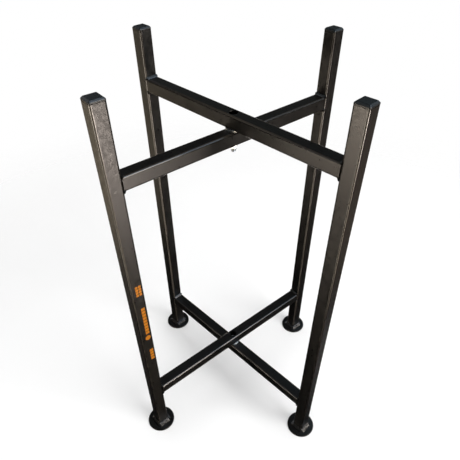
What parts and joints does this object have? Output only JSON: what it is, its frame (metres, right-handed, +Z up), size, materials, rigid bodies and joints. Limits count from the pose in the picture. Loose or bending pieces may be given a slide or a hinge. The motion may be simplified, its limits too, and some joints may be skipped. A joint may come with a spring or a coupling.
{
  "type": "folding burner stand",
  "caption": "Folding cross stand for a gas ring burner: ladder frames of square steel tube, hinged by bolts where their upper and lower rails cross, on round foot plates.",
  "frame": {"origin": "on the floor, on the upright pivot axis, under the middle of the stand", "axes": "+Z up; the frames stand 42.25 degrees each side of the X axis; -Y is the front"},
  "size_m": [0.4086, 0.377, 0.8296],
  "materials": {
    "powder_coated_steel": "satin black powder coat",
    "black_polyethylene": "moulded, matt",
    "zinc_plated_steel": "bright zinc plate",
    "nylon": "natural nylon",
    "orange_print": "printed label ink"
  },
  "bodies": {
    "frame_a": {"leg_back_left": "powder_coated_steel", "foot_back_left": "powder_coated_steel", "end_cap_back_left": "black_polyethylene", "leg_front_right": "powder_coated_steel", "foot_front_right": "powder_coated_steel", "end_cap_front_right": "black_polyethylene", "upper_rail_a": "powder_coated_steel", "lower_rail_a": "powder_coated_steel", "upper_pivot_bolt": "zinc_plated_steel", "upper_pivot_head_washer": "zinc_plated_steel", "upper_pivot_spacer": "zinc_plated_steel", "upper_pivot_nut_washer": "zinc_plated_steel", "upper_pivot_lock_nut": "zinc_plated_steel", "upper_pivot_nut_insert": "nylon", "lower_pivot_bolt": "zinc_plated_steel", "lower_pivot_head_washer": "zinc_plated_steel", "lower_pivot_spacer": "zinc_plated_steel", "lower_pivot_nut_washer": "zinc_plated_steel", "lower_pivot_lock_nut": "zinc_plated_steel", "lower_pivot_nut_insert": "nylon"},
    "frame_b": {"leg_front_left": "powder_coated_steel", "foot_front_left": "powder_coated_steel", "end_cap_front_left": "black_polyethylene", "leg_back_right": "powder_coated_steel", "foot_back_right": "powder_coated_steel", "end_cap_back_right": "black_polyethylene", "upper_rail_b": "powder_coated_steel", "lower_rail_b": "powder_coated_steel"}
  },
  "joints": [
    {"name": "fold", "type": "hinge", "parent": "frame_a", "child": "frame_b", "pos_m": [0, 0, 0], "axis": [0, 0, 1], "range_deg": [-68, 79]}
  ]
}
